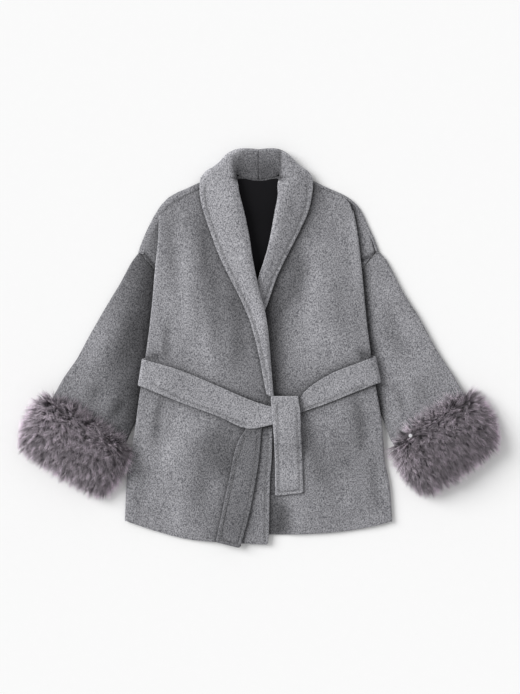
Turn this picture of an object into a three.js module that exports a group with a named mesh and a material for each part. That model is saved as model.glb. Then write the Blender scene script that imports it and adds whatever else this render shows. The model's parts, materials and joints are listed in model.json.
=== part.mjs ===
// Wrap coat laid flat on its back: dropped shoulders, wide sleeves with fur cuffs,
// a shawl collar and a tie belt. Millimetres, +Z up, +Y towards the collar.
// "Right" and "left" are the wearer's, so the right side has negative X.

import * as THREE from 'three';

// Cloth
const WOOL = 2.4;
const DOUBLE_WOOL = 4.2;
const LINING = 1.0;
const COLLAR = 4.0;
const SEAM_GAP = 1.2;
const NECK_SEAM_GAP = 5.4;
const LAY_GAP = 0.5;
const BELT_GAP = 1.2;
const RETURN_GAP = 1.5;

// Heights of the laid layers, all at the middle of a wall
const BACK_HEIGHT = WOOL / 2;
const FRONT_HEIGHT = 7.5;
const HEM_DROP = 2.6;
const RIGHT_OVER_LEFT = 4.6;
const COLLAR_CROSSING = 6.2;
const DROP_SHOULDER_HEIGHT = 6.1;
const FOLD_RADIUS = 2.5;
const FOLD_RETURN = 18;
const SLEEVE_UNDER_BODY = 6.4;
const BELT_UNDER_BACK = 5.2;
const COLLAR_UNDER_BACK = 6.3;

// Fur cuffs
const CUFF_WIDTH = 262;
const CUFF_INNER_SHARE = 0.86;
const CUFF_HEIGHT = 56;
const CUFF_BED = 8;
const SLEEVE_END_WIDTH = 192;
const SLEEVE_END_SPREAD = 5.6;
const SLEEVE_IN_CUFF = 96;
const SLEEVE_LEAN = THREE.MathUtils.degToRad(30.7);

const BUTTON_RADIUS = 4.7;

// The outline of each side, with one [x, y] row for each bend of the edge
const SIDES = {
  right: {
    sign: -1,
    shoulderWrap: 12,
    fold: [[-301, -391], [-295, -284], [-281, -207], [-267, -108], [-251, -4],
      [-238, 108], [-232, 182], [-225, 245], [-224, 296]],
    silhouette: [[-269, 214], [-259, 248], [-245, 278], [-234, 299], [-223, 316],
      [-212, 329], [-194, 343], [-166, 355], [-130, 371], [-98, 381], [-66, 388]],
    shoulderSeam: [[-221.5, 296], [-213, 305], [-203, 317], [-187, 331], [-163, 342],
      [-128, 357], [-98, 367], [-70, 374]],
    dropEdge: [[-211, 301], [-223, 290], [-234, 269], [-248, 240], [-257, 202.5]],
    dropHidden: [[-198, 294], [-206, 250], [-210, 200], [-211, 157]],
    armhole: [[-257, 202.5], [-245, 190.5], [-230, 175], [-211, 157]],
    backCorner: [[-230, 174], [-269, 213]],
    sleeveOuter: [[-269.8, 212.4], [-284, 194], [-313, 140], [-333, 108], [-385, 18],
      [-409, -27], [-441, -72]],
    sleeveInner: [[-233.4, 172], [-232.8, 150], [-235.2, 128], [-228, 90], [-222, 40],
      [-226, -30], [-242, -100], [-268.5, -150], [-285, -180]],
    cuffCentre: [-413, -217],
    cuffLength: 140,
  },
  left: {
    sign: 1,
    shoulderWrap: 4,
    fold: [[299, -392], [292, -300], [284, -274], [274, -160], [261, -88], [243, 42],
      [229, 185], [218, 275], [211, 308]],
    silhouette: [[267, 218], [260, 243], [250, 263], [240, 285], [228, 312],
      [214, 327], [190, 343], [160, 355], [117, 375], [92, 382], [66, 388]],
    shoulderSeam: [[208.5, 308], [202, 327], [186, 338], [157, 350], [115, 369],
      [92, 375], [70, 377]],
    dropEdge: [[209, 321], [221, 308], [235, 281], [246, 258], [259, 214]],
    dropHidden: [[192, 312], [200, 255], [205, 205], [208, 157]],
    armhole: [[259, 214], [247, 199], [228, 176], [208, 157]],
    backCorner: [[227.5, 174], [266, 217]],
    sleeveOuter: [[267.6, 216.8], [284, 199], [308, 153], [328, 115], [353, 78],
      [402, -11], [438, -66]],
    sleeveInner: [[230.6, 171.5], [231.5, 150], [233.6, 128], [226, 90], [220, 40],
      [224, -30], [240, -100], [261, -132], [281, -158]],
    cuffCentre: [412, -212],
    cuffLength: 148,
  },
};

const NECK_EDGE = [[-48, 384], [-24, 378.5], [0, 377], [24, 378.5], [48, 384]];
const BACK_HEM = [[-298, -386], [-200, -417], [-100, -429], [-20, -431], [40, -417],
  [150, -411], [250, -399], [296, -387]];
const RIGHT_HEM = [[-298.5, -391], [-238, -412], [-163, -431.5], [-97, -438], [-35, -441],
  [20, -444]];
const LEFT_HEM = [[-70, -418], [22, -421], [97, -420.5], [175, -416], [252, -404],
  [296.5, -392]];

// Collar sections from the neck to the break of the front, one row each:
// inner is the rolled edge, edge the outer rim, rise the height of the roll.
const COLLAR_RIGHT = [
  { inner: [-45, 345], edge: [-132, 341], rise: 13 },
  { inner: [-35, 307], edge: [-125, 309], rise: 12.5 },
  { inner: [-25, 261], edge: [-110, 263], rise: 11.5 },
  { inner: [-15, 198], edge: [-84, 195], rise: 10.5 },
  { inner: [-2, 140], edge: [-57, 142], rise: 9.5 },
  { inner: [13, 81], edge: [-28, 81], rise: 8.5 },
  { inner: [20.5, 20], edge: [-7, 24], rise: 7.5 },
  { inner: [23.5, -44], edge: [10.5, -42], rise: 7 },
];
const COLLAR_LEFT = [
  { inner: [44, 345], edge: [119, 345], rise: 13 },
  { inner: [37, 307], edge: [111, 307], rise: 12.5 },
  { inner: [29, 265], edge: [93, 266], rise: 11.5 },
  { inner: [17, 215], edge: [66, 213], rise: 9 },
  { inner: [0, 158], edge: [38, 155], rise: 6.6 },
  { inner: [-12, 122], edge: [20, 100], rise: 5.8 },
  { inner: [-19, 98], edge: [5, 66], rise: 5.8 },
];

// Collar sections round the neck, [x, y, z] for the wearer's left, from the centre
// back to the shoulder: the stand rises, rolls over and lies under the back.
const COLLAR_NECK = [
  {
    seam: [0.6, 379.5, 7.6], inner: [0.6, 436, 11], crest: [0.6, 447, 10.4],
    rim: [0.6, 451.5, 6.4], fall: [0.6, 428, 3.3], edge: [0.6, 346, 3.1],
  },
  {
    seam: [26, 381.5, 7.9], inner: [28, 440, 14], crest: [32, 449, 13],
    rim: [36, 451.5, 7.5], fall: [34, 427, 3.3], edge: [33, 348, 3.1],
  },
  {
    seam: [40, 385, 9], inner: [47, 431, 19], crest: [54, 440, 19],
    rim: [62, 441, 11], fall: [58, 420, 3.3], edge: [62, 352, 3.1],
  },
  {
    seam: [50, 391, 11], inner: [54.5, 414, 23], crest: [67, 424, 24.5],
    rim: [84, 422, 13], fall: [82, 403, 4], edge: [88, 357, 3.1],
  },
  {
    seam: [55, 390, 12.6], inner: [54.5, 397, 24], crest: [74, 405, 27],
    rim: [102, 404, 16], fall: [106, 402, 6.2], edge: [108, 372, 3.1],
  },
  {
    seam: [55, 378, 14], inner: [51, 379, 23.5], crest: [75, 385, 27],
    rim: [108, 392, 22], fall: [122, 392, 15], edge: [127, 387, 8.8],
  },
  {
    seam: [51, 361, 14.4], inner: [47, 362, 22.5], crest: [72, 367, 26.5],
    rim: [101, 371, 24], fall: [120, 373.5, 20.5], edge: [132, 372, 17.4],
  },
];
const LEFT_COLLAR_NARROWER = 0.915;

// Belt edges, with one [x, y] row for each bend
const BELT_RIGHT_TOP = [[-252, -30], [-178, -52], [-87, -90], [-9, -123], [32.5, -135]];
const BELT_RIGHT_BOTTOM = [[-261, -88], [-178, -122], [-87, -156], [-25, -182], [32.5, -172]];
const BELT_LEFT_TOP = [[252, -25], [166, -58], [130, -79], [105, -98], [90, -117], [33.5, -132]];
const BELT_LEFT_BOTTOM = [[263.5, -81], [203, -105], [154, -125], [94, -146], [33.5, -170]];
const FRONT_END_LEFT = [[28, -119], [31, -160], [35, -215], [37, -267], [37, -333]];
const FRONT_END_RIGHT = [[88, -119], [92, -146], [93, -181], [96, -240], [99, -326]];
const UNDER_END_LEFT = [[-24, -150], [-28, -182], [-47, -213], [-66, -297], [-96, -438]];
const UNDER_END_RIGHT = [[10, -150], [5, -186], [-1, -252], [-20, -362], [-43, -451]];

// Long soft folds of the fronts: a ridge or trough from top to foot
const FOLDS = [
  { x: -158, foot: -176, top: 320, bottom: -400, width: 30, height: 2.6 },
  { x: -92, foot: -84, top: 230, bottom: -400, width: 34, height: -1.6 },
  { x: -205, foot: -216, top: 60, bottom: -390, width: 17, height: -1.8 },
  { x: 118, foot: 128, top: 300, bottom: -390, width: 36, height: 2.4 },
  { x: 168, foot: 196, top: 60, bottom: -390, width: 24, height: -1.7 },
];

// Numbers and curves

const mix = THREE.MathUtils.lerp;

// 0 at or before from, 1 at or past to, with from above or below to
function smooth(from, to, value) {
  if (from < to) return THREE.MathUtils.smoothstep(value, from, to);
  return 1 - THREE.MathUtils.smoothstep(value, to, from);
}

function curveThrough(rows) {
  const points = rows.map(([x, y]) => new THREE.Vector3(x, y, 0));
  const curve = new THREE.CatmullRomCurve3(points, false, 'centripetal');
  curve.arcLengthDivisions = 400;
  return (t) => curve.getPointAt(THREE.MathUtils.clamp(t, 0, 1));
}

function edgeAtHeight(rows, y) {
  const above = rows.findIndex((row) => row[1] > y);
  if (above === 0) return rows[0][0];
  if (above < 0) return rows[rows.length - 1][0];
  const [low, high] = [rows[above - 1], rows[above]];
  return mix(low[0], high[0], (y - low[1]) / (high[1] - low[1]));
}

function shifted(rows, dx, dy = 0) {
  return rows.map(([x, y]) => [x + dx, y + dy]);
}

// Heights of the layers

function beltBackY(x) {
  return -60 + 26 * (1 - (x / 258) ** 2);
}

const sideAt = (x) => (x < 0 ? SIDES.right : SIDES.left);

function insideFold(x, y) {
  return Math.abs(edgeAtHeight(sideAt(x).fold, y)) - Math.abs(x);
}

function liftOverSleeve(x, y) {
  const along = smooth(-262, -192, y) * (1 - smooth(128, 158, y));
  return SLEEVE_UNDER_BODY * along * (1 - smooth(46, 104, insideFold(x, y)));
}

function liftOverBelt(x, y) {
  return BELT_UNDER_BACK * (1 - smooth(46, 100, Math.abs(y - beltBackY(x))));
}

function liftOverCollar(x, y) {
  const edge = 345 + 26 * (x / 130) ** 2;
  const across = 1 - smooth(126, 152, Math.abs(x));
  return COLLAR_UNDER_BACK * across * smooth(edge - 84, edge - 14, y);
}

function backHeight(x, y) {
  return BACK_HEIGHT + liftOverSleeve(x, y) + liftOverBelt(x, y) + liftOverCollar(x, y);
}

function returnHeight(x, y) {
  const overSleeve = SLEEVE_UNDER_BODY * smooth(-262, -192, y);
  return BACK_HEIGHT + WOOL + RETURN_GAP + overSleeve + liftOverBelt(x, y);
}

function foldWaves(x, y) {
  const awayFromBelt = smooth(75, 150, Math.abs(y + 95));
  let height = 0;
  for (const fold of FOLDS) {
    const along = (fold.top - y) / (fold.top - fold.bottom);
    if (along <= 0 || along >= 1) continue;
    const ends = smooth(0, 0.18, along) * smooth(1.12, 0.85, along);
    const offset = (x - mix(fold.x, fold.foot, along)) / fold.width;
    height += fold.height * ends * Math.exp(-offset * offset);
  }
  return height * awayFromBelt;
}

function frontHeight(x, y) {
  const back = backHeight(x, y) - BACK_HEIGHT;
  const laid = FRONT_HEIGHT - HEM_DROP * smooth(-260, -425, y) + back + foldWaves(x, y);
  const atFold = returnHeight(x, y) + 2 * FOLD_RADIUS;
  const towardsFold = 1 - smooth(6, 85, insideFold(x, y));
  const belowShoulder = 1 - smooth(250, 335, y);
  return mix(laid, atFold, towardsFold * mix(0.85, 1, belowShoulder));
}

function rightFrontHeight(x, y) {
  const overlap = smooth(-165, -76, x) * (1 - smooth(190, 280, y));
  const crossing = smooth(-115, -42, x) * smooth(-50, 58, y) * (1 - smooth(185, 270, y));
  return frontHeight(x, y) + RIGHT_OVER_LEFT * overlap + COLLAR_CROSSING * crossing;
}

const frontHeights = { right: rightFrontHeight, left: frontHeight };

// Closed walls from grids of points in the middle of the cloth

function quad(indices, a, b, c, d) {
  indices.push(a, b, c, a, c, d);
}

function solid(points, indices) {
  const geometry = new THREE.BufferGeometry();
  geometry.setAttribute('position', new THREE.Float32BufferAttribute(points.flat(), 3));
  let volume = 0;
  const corner = (i) => new THREE.Vector3(...points[i]);
  for (let i = 0; i < indices.length; i += 3) {
    const cross = corner(indices[i + 1]).cross(corner(indices[i + 2]));
    volume += corner(indices[i]).dot(cross);
  }
  geometry.setIndex(volume < 0 ? indices.reverse() : indices);
  geometry.computeVertexNormals();
  return geometry;
}

function gridNormal(grid, i, j, ringed) {
  const rows = grid.length;
  const columns = grid[0].length;
  const next = ringed ? (i + 1) % rows : Math.min(i + 1, rows - 1);
  const last = ringed ? (i + rows - 1) % rows : Math.max(i - 1, 0);
  const along = grid[next][j].clone().sub(grid[last][j]);
  const right = grid[i][Math.min(j + 1, columns - 1)];
  const across = right.clone().sub(grid[i][Math.max(j - 1, 0)]);
  return along.cross(across).normalize();
}

function wall(grid, thickness, ringed = false) {
  const rows = grid.length;
  const columns = grid[0].length;
  const points = [];
  for (const face of [0.5, -0.5]) {
    for (let i = 0; i < rows; i += 1) {
      for (let j = 0; j < columns; j += 1) {
        const offset = gridNormal(grid, i, j, ringed).multiplyScalar(face * thickness);
        points.push(grid[i][j].clone().add(offset).toArray());
      }
    }
  }
  const outer = (i, j) => (i % rows) * columns + j;
  const inner = (i, j) => rows * columns + outer(i, j);
  const indices = [];
  const steps = ringed ? rows : rows - 1;
  for (let i = 0; i < steps; i += 1) {
    for (let j = 0; j < columns - 1; j += 1) {
      quad(indices, outer(i, j), outer(i + 1, j), outer(i + 1, j + 1), outer(i, j + 1));
      quad(indices, inner(i, j), inner(i, j + 1), inner(i + 1, j + 1), inner(i + 1, j));
    }
    quad(indices, outer(i, 0), inner(i, 0), inner(i + 1, 0), outer(i + 1, 0));
    const end = columns - 1;
    quad(indices, outer(i, end), outer(i + 1, end), inner(i + 1, end), inner(i, end));
  }
  if (!ringed) {
    for (let j = 0; j < columns - 1; j += 1) {
      quad(indices, outer(0, j), outer(0, j + 1), inner(0, j + 1), inner(0, j));
      const end = rows - 1;
      quad(indices, outer(end, j), inner(end, j), inner(end, j + 1), outer(end, j + 1));
    }
  }
  return solid(points, indices);
}

// A patch between four edges: foot and head run along u, start and end along v
function patch({ foot, head, start, end }) {
  return (u, v) => {
    const point = new THREE.Vector3();
    point.addScaledVector(foot(u), 1 - v);
    point.addScaledVector(head(u), v);
    point.addScaledVector(start(v), 1 - u);
    point.addScaledVector(end(v), u);
    point.addScaledVector(foot(0), -(1 - u) * (1 - v));
    point.addScaledVector(foot(1), -u * (1 - v));
    point.addScaledVector(head(0), -(1 - u) * v);
    point.addScaledVector(head(1), -u * v);
    return point;
  };
}

// A point of cloth that has gone on past an edge by a length, bending up or down
function bent(start, outward, radius, turn, upOrDown, length) {
  const arc = radius * turn;
  const angle = Math.min(length / radius, turn);
  const straight = Math.max(length - arc, 0);
  const out = radius * Math.sin(angle) + straight * Math.cos(turn);
  const up = radius * (1 - Math.cos(angle)) + straight * Math.sin(turn);
  const point = start.clone().addScaledVector(outward, out);
  point.z += upOrDown * up;
  return point;
}

const steps = (count) => Array.from({ length: count + 1 }, (_, i) => i / count);

// Back

function backPanel() {
  const { right, left } = SIDES;
  const sideRows = (side) => {
    const below = shifted(side.fold, -side.sign * FOLD_RADIUS).filter((row) => row[1] < 160);
    return [...below, ...side.backCorner];
  };
  const shoulder = (side) => side.silhouette.map(([x, y]) => [x - side.sign * 2.2, y - 2.2]);
  const head = [...shoulder(right), ...NECK_EDGE, ...shoulder(left).reverse()];
  head[0] = right.backCorner[1];
  head[head.length - 1] = left.backCorner[1];
  const startRows = sideRows(right);
  startRows[0] = BACK_HEM[0];
  const endRows = sideRows(left);
  endRows[0] = BACK_HEM[BACK_HEM.length - 1];
  const headCurve = curveThrough(head);
  const flat = patch({
    foot: curveThrough(BACK_HEM),
    head: headCurve,
    start: curveThrough(startRows),
    end: curveThrough(endRows),
  });
  const grid = steps(30).map((u) => {
    const column = steps(20).map((v) => {
      const point = flat(u, v);
      point.z = backHeight(point.x, point.y);
      return point;
    });
    const top = column[column.length - 1];
    const along = headCurve(u + 0.004).sub(headCurve(u - 0.004)).normalize();
    const outward = new THREE.Vector3(-along.y, along.x, 0);
    const onShoulder = smooth(60, 84, Math.abs(top.x));
    const towardsDrop = smooth(205, 235, Math.abs(top.x));
    const rise = mix(FRONT_HEIGHT, DROP_SHOULDER_HEIGHT, towardsDrop) - BACK_HEIGHT;
    const radius = rise / 2;
    const turn = Math.PI * onShoulder + 0.02;
    const wrap = sideAt(top.x).shoulderWrap - radius;
    const length = mix(2.2, radius * Math.PI + wrap, onShoulder);
    for (const t of steps(6).slice(1)) {
      column.push(bent(top, outward, radius, turn, 1, t * length));
    }
    return column;
  });
  return wall(grid, WOOL);
}

function backLining() {
  const flat = patch({
    foot: curveThrough([[-24, 128], [10, 128]]),
    head: curveThrough([[-74, 366], [-46, 381], [0, 374], [46, 381], [74, 366]]),
    start: curveThrough([[-24, 128], [-42, 200], [-60, 290], [-74, 366]]),
    end: curveThrough([[10, 128], [46, 215], [62, 290], [74, 366]]),
  });
  const height = (WOOL + LINING) / 2 + LAY_GAP + 0.4;
  const grid = steps(7).map((u) => steps(8).map((v) => {
    const point = flat(u, v);
    point.z = backHeight(point.x, point.y) + height;
    return point;
  }));
  return wall(grid, LINING);
}

// Collar

function collarSections(name) {
  const side = SIDES[name];
  const heightAt = frontHeights[name];
  const scale = side.sign * (name === 'left' ? LEFT_COLLAR_NARROWER : 1);
  const columns = ['seam', 'inner', 'crest', 'rim', 'fall', 'edge'];
  const neck = COLLAR_NECK.map((row) => columns.map((column) => {
    const [x, y, z] = row[column];
    return new THREE.Vector3(Math.abs(x) < 1 ? side.sign * x : scale * x, y, z);
  }));
  const table = name === 'right' ? COLLAR_RIGHT : COLLAR_LEFT;
  const fronts = table.map(({ inner, edge, rise }) => {
    const from = new THREE.Vector3(...inner, 0);
    const to = new THREE.Vector3(...edge, 0);
    const width = from.distanceTo(to);
    const onFront = (share, extra) => {
      const point = from.clone().lerp(to, share);
      point.z = heightAt(point.x, point.y) + extra;
      return point;
    };
    const resting = (WOOL + COLLAR) / 2 + LAY_GAP + 0.7;
    const crestShare = Math.max(0.2, 4 / width);
    return [
      onFront(Math.min(9 / width, 0.45), 0.7),
      onFront(0, rise / 2),
      onFront(crestShare, rise),
      onFront(0.5, mix(resting, rise, 0.5)),
      onFront(0.78, mix(resting, rise, 0.12)),
      onFront(1, resting),
    ];
  });
  return [...neck, ...fronts];
}

function collarSeam(name) {
  const sections = collarSections(name).slice(COLLAR_NECK.length - 1);
  return sections.map((section) => {
    const outward = section[5].clone().sub(section[1]).setZ(0).normalize();
    const gap = mix(SEAM_GAP, NECK_SEAM_GAP, smooth(290, 335, section[0].y));
    return section[0].clone().addScaledVector(outward, gap).toArray().slice(0, 2);
  });
}

function collar(name) {
  const sections = collarSections(name);
  const lines = sections[0].map((_, k) => {
    const points = sections.map((section) => section[k]);
    return new THREE.CatmullRomCurve3(points, false, 'centripetal');
  });
  const grid = steps(26).map((u) => {
    const across = lines.map((line) => line.getPoint(u));
    const section = new THREE.CatmullRomCurve3(across, false, 'centripetal');
    return section.getSpacedPoints(9);
  });
  return wall(grid, COLLAR);
}

// Fronts

function frontPanel(name, innerBelow, hem) {
  const side = SIDES[name];
  const heightAt = frontHeights[name];
  const fold = shifted(side.fold, -side.sign * FOLD_RADIUS);
  const inner = [...innerBelow, ...collarSeam(name).reverse()];
  const head = [inner[inner.length - 1], ...[...side.shoulderSeam].reverse()];
  fold[fold.length - 1] = head[head.length - 1];
  fold[0] = hem[hem.length - 1];
  const foldCurve = curveThrough(fold);
  const flat = patch({
    foot: curveThrough(hem),
    head: curveThrough(head),
    start: curveThrough(inner),
    end: foldCurve,
  });
  const outward = new THREE.Vector3(side.sign, 0, 0);
  const lines = steps(13).map((u) => steps(22).map((v) => {
    const point = flat(u, v);
    point.z = heightAt(point.x, point.y);
    return point;
  }));
  const foldLine = lines[lines.length - 1];
  for (const t of steps(6).slice(1)) {
    lines.push(foldLine.map((edge) => {
      const radius = (edge.z - returnHeight(edge.x, edge.y)) / 2;
      const flatReturn = FOLD_RETURN * (1 - 0.75 * smooth(235, 300, edge.y));
      const length = radius * Math.PI + flatReturn;
      const eased = Math.min(t * 1.55, 1);
      const arc = radius * Math.PI;
      const done = t < 0.65 ? eased * arc : arc + flatReturn * (t - 0.625) / 0.375;
      return bent(edge, outward, radius, Math.PI, -1, Math.min(done, length));
    }));
  }
  return wall(lines, WOOL);
}

function frontRight() {
  const edge = [[20, -444], [22, -413], [24, -297], [28, -252], [30, -172], [30, -105],
    [29, -66], [26, -54], [19, -48.5]];
  const hem = [...RIGHT_HEM].reverse();
  return frontPanel('right', edge, hem);
}

function frontLeft() {
  const edge = [[-70, -418], [-68, -250], [-63, -120], [-45, -20], [-25, 55]];
  return frontPanel('left', edge, LEFT_HEM);
}

// Dropped shoulders, in front, beyond the fold

function dropShoulder(name) {
  const side = SIDES[name];
  const first = side.dropEdge[0];
  const flat = patch({
    foot: curveThrough([side.dropHidden[0], first]),
    head: curveThrough([...side.armhole].reverse()),
    start: curveThrough(side.dropHidden),
    end: curveThrough(side.dropEdge),
  });
  const grid = steps(4).map((u) => steps(6).map((v) => {
    const point = flat(u, v);
    point.z = DROP_SHOULDER_HEIGHT;
    return point;
  }));
  return wall(grid, WOOL);
}

// Sleeves

function cuffFrame(side) {
  const axis = new THREE.Vector3(side.sign * Math.sin(SLEEVE_LEAN), -Math.cos(SLEEVE_LEAN), 0);
  const outward = new THREE.Vector3(-axis.y * side.sign, axis.x * side.sign, 0);
  const centre = new THREE.Vector3(...side.cuffCentre, 0);
  return { axis, outward, centre };
}

function flattened(angle) {
  const across = Math.sign(Math.cos(angle)) * Math.abs(Math.cos(angle)) ** 0.55;
  const up = Math.sign(Math.sin(angle)) * Math.abs(Math.sin(angle)) ** 0.4;
  return { across, up };
}

function sleeveEnds(side) {
  const { axis, outward, centre } = cuffFrame(side);
  const at = (along, across) => {
    const point = centre.clone().addScaledVector(axis, along - side.cuffLength / 2);
    return point.addScaledVector(outward, across).toArray().slice(0, 2);
  };
  const half = SLEEVE_END_WIDTH / 2;
  const alongs = [2, 40, SLEEVE_IN_CUFF];
  return {
    outer: alongs.map((along) => at(along, half)),
    inner: alongs.map((along) => at(along, -half)),
  };
}

function sleeve(name) {
  const side = SIDES[name];
  const ends = sleeveEnds(side);
  const outer = curveThrough([...side.sleeveOuter, ...ends.outer]);
  const inner = curveThrough([...side.sleeveInner, ...ends.inner]);
  const { axis, centre } = cuffFrame(side);
  const sections = steps(17).map((v) => {
    const from = inner(v);
    const to = outer(v);
    const middle = from.clone().lerp(to, 0.5);
    const half = to.clone().sub(from).multiplyScalar(0.5);
    return steps(20).slice(0, -1).map((turn) => {
      const { across, up } = flattened((turn + 0.02) * 2 * Math.PI);
      const point = middle.clone().addScaledVector(half, across);
      const toCuff = point.clone().sub(centre).dot(axis) + side.cuffLength / 2;
      const atCuff = smooth(-85, -4, toCuff);
      const outside = -insideFold(point.x, point.y);
      const tucked = point.y > 165 ? 1 : smooth(12, 26, outside);
      const loft = 6.5 * smooth(22, 90, outside);
      const spread = mix(WOOL + 0.6 + 1.3 * tucked + loft, SLEEVE_END_SPREAD, atCuff);
      point.z = BACK_HEIGHT + CUFF_BED * atCuff + spread * (0.5 + 0.5 * up);
      return point;
    });
  });
  const ring = sections[0].map((_, i) => sections.map((section) => section[i]));
  return wall(ring, WOOL, true);
}

// Fur cuffs: a rounded ring of fur round the end of the sleeve, flat below

const CUFF_PROFILE = [
  { along: 0.0, depth: 0 },
  { along: 0.0, depth: 0.42 },
  { along: 0.05, depth: 0.68 },
  { along: 0.16, depth: 0.9 },
  { along: 0.32, depth: 1 },
  { along: 0.68, depth: 1 },
  { along: 0.84, depth: 0.9 },
  { along: 0.95, depth: 0.68 },
  { along: 1.0, depth: 0.42 },
  { along: 1.0, depth: 0 },
  { along: 0.5, depth: 0 },
];

function cuff(name) {
  const side = SIDES[name];
  const { axis, outward, centre } = cuffFrame(side);
  const sleeveMiddle = BACK_HEIGHT + CUFF_BED + SLEEVE_END_SPREAD / 2;
  const clearance = WOOL / 2 + 0.9;
  const innerHalf = SLEEVE_END_WIDTH / 2 + clearance;
  const innerRise = SLEEVE_END_SPREAD / 2 + clearance;
  const around = 22;
  const points = [];
  for (let i = 0; i < around; i += 1) {
    const angle = ((i + 0.5) / around) * 2 * Math.PI;
    const inner = flattened(angle);
    const across = Math.cos(angle);
    const up = Math.sin(angle);
    const rounded = { across: Math.sign(across) * Math.abs(across) ** 0.8, up };
    const outerRise = up > 0 ? CUFF_HEIGHT - sleeveMiddle : sleeveMiddle;
    const outerUp = Math.sign(up) * Math.abs(up) ** (up > 0 ? 0.85 : 0.3);
    for (const { along, depth } of CUFF_PROFILE) {
      const half = (CUFF_WIDTH / 2) * (across < 0 ? CUFF_INNER_SHARE : 1);
      const x = mix(innerHalf * inner.across, half * rounded.across, depth);
      const z = mix(innerRise * inner.up, outerRise * outerUp, depth);
      const reach = side.cuffLength * (along - 0.5);
      const point = centre.clone().addScaledVector(axis, reach).addScaledVector(outward, x);
      points.push([point.x, point.y, Math.max(sleeveMiddle + z, 0)]);
    }
  }
  const ring = CUFF_PROFILE.length;
  const at = (i, k) => (i % around) * ring + (k % ring);
  const indices = [];
  for (let i = 0; i < around; i += 1) {
    for (let k = 0; k < ring; k += 1) {
      quad(indices, at(i, k), at(i + 1, k), at(i + 1, k + 1), at(i, k + 1));
    }
  }
  return solid(points, indices);
}

function cuffButton() {
  const geometry = new THREE.SphereGeometry(BUTTON_RADIUS, 10, 7);
  geometry.rotateX(Math.PI / 2);
  return geometry;
}

// Belt

function strip(topRows, bottomRows, heightAt, count = 16) {
  const top = curveThrough(topRows);
  const bottom = curveThrough(bottomRows);
  return steps(count).map((u) => steps(2).map((v) => {
    const point = bottom(u).lerp(top(u), v);
    point.z = heightAt(point.x, point.y);
    return point;
  }));
}

const ON_CLOTH = (WOOL + DOUBLE_WOOL) / 2 + BELT_GAP;

function underBody(x, y) {
  return DOUBLE_WOOL / 2 + liftOverSleeve(x, y);
}

function beltBack() {
  const middle = (x) => beltBackY(x);
  const rows = (offset) => steps(10).map((t) => {
    const x = mix(-224, 224, t);
    return [x, middle(x) + offset];
  });
  return wall(strip(rows(29), rows(-29), underBody, 16), DOUBLE_WOOL);
}

// The stretch over the front, then round the side of the body and back under it
function beltRun(name, topRows, bottomRows) {
  const side = SIDES[name];
  const over = (x, y) => {
    const overEnd = name === 'right' ? 5.2 * smooth(-96, -44, x) : 0;
    const kneeUp = name === 'left' ? RIGHT_OVER_LEFT * (1 - smooth(34, 80, x)) : 0;
    return frontHeights[name](x, y) + ON_CLOTH + overEnd + kneeUp;
  };
  const grid = strip(topRows, bottomRows, over);
  const first = grid[0];
  const second = grid[1];
  const lean = (first[1].y - second[1].y) / Math.abs(first[1].x - second[1].x);
  const lower = underBody(side.sign * 240, -60);
  const turns = [];
  for (const t of steps(9).slice(1)) {
    turns.push(first.map((edge) => {
      const radius = (edge.z - lower) / 2;
      const angle = Math.min(t / 0.72, 1) * Math.PI;
      const straight = Math.max(t - 0.72, 0) / 0.28 * 24;
      const out = radius * Math.sin(angle) - straight;
      const y = edge.y + lean * (radius * angle + straight) * 0.6;
      const z = lower + radius * (1 + Math.cos(angle));
      return new THREE.Vector3(edge.x + side.sign * out, y, z);
    }));
  }
  return wall([...turns.reverse(), ...grid], DOUBLE_WOOL);
}

function beltFrontEnd() {
  const overKnot = (x, y) => {
    const knot = smooth(-262, -184, y);
    const run = RIGHT_OVER_LEFT + 4.8 + DOUBLE_WOOL + 0.8;
    return frontHeight(x, y) + ON_CLOTH + run * knot;
  };
  const grid = strip(FRONT_END_LEFT, FRONT_END_RIGHT, overKnot, 18);
  const first = grid[0];
  const turns = steps(5).slice(1).map((t) => first.map((edge) => {
    const up = new THREE.Vector3(0, 1, 0);
    return bent(edge, up, 7, Math.PI * 0.55, -1, t * 15);
  }));
  return wall([...turns.reverse(), ...grid], DOUBLE_WOOL);
}

function beltUnderEnd() {
  const onRight = (x, y) => rightFrontHeight(x, y) + ON_CLOTH;
  return wall(strip(UNDER_END_LEFT, UNDER_END_RIGHT, onRight, 16), DOUBLE_WOOL);
}

// Materials

function cloth(color, roughness = 0.95) {
  return new THREE.MeshStandardMaterial({ color, roughness, metalness: 0 });
}

const greyWool = () => cloth('#87868a');
const blackLining = () => cloth('#17161a', 0.6);
const mauveFur = () => cloth('#6b626a', 0.9);
const clearBead = () => cloth('#c9c8cc', 0.25);

// The whole coat

const coat = new THREE.Group();

function add(name, geometry, material) {
  const mesh = new THREE.Mesh(geometry, material);
  mesh.name = name;
  coat.add(mesh);
  return mesh;
}

add('back_panel', backPanel(), greyWool());
add('back_lining', backLining(), blackLining());
add('front_left', frontLeft(), greyWool());
add('front_right', frontRight(), greyWool());
for (const name of ['right', 'left']) {
  add(`drop_shoulder_${name}`, dropShoulder(name), greyWool());
  add(`sleeve_${name}`, sleeve(name), greyWool());
  add(`cuff_${name}`, cuff(name), mauveFur());
  add(`collar_${name}`, collar(name), greyWool());
}
add('belt_back', beltBack(), greyWool());
add('belt_run_right', beltRun('right', BELT_RIGHT_TOP, BELT_RIGHT_BOTTOM), greyWool());
add('belt_run_left', beltRun('left', BELT_LEFT_TOP, BELT_LEFT_BOTTOM), greyWool());
add('belt_front_end', beltFrontEnd(), greyWool());
add('belt_under_end', beltUnderEnd(), greyWool());
add('cuff_button', cuffButton(), clearBead()).position.set(338, -197, 53.6);

// The origin is under the middle of the whole coat, on the surface it lies on
const reach = new THREE.Box3().setFromObject(coat, true);
const middle = reach.getCenter(new THREE.Vector3());
coat.position.set(-middle.x, -middle.y, -reach.min.z);

export default coat;
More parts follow.
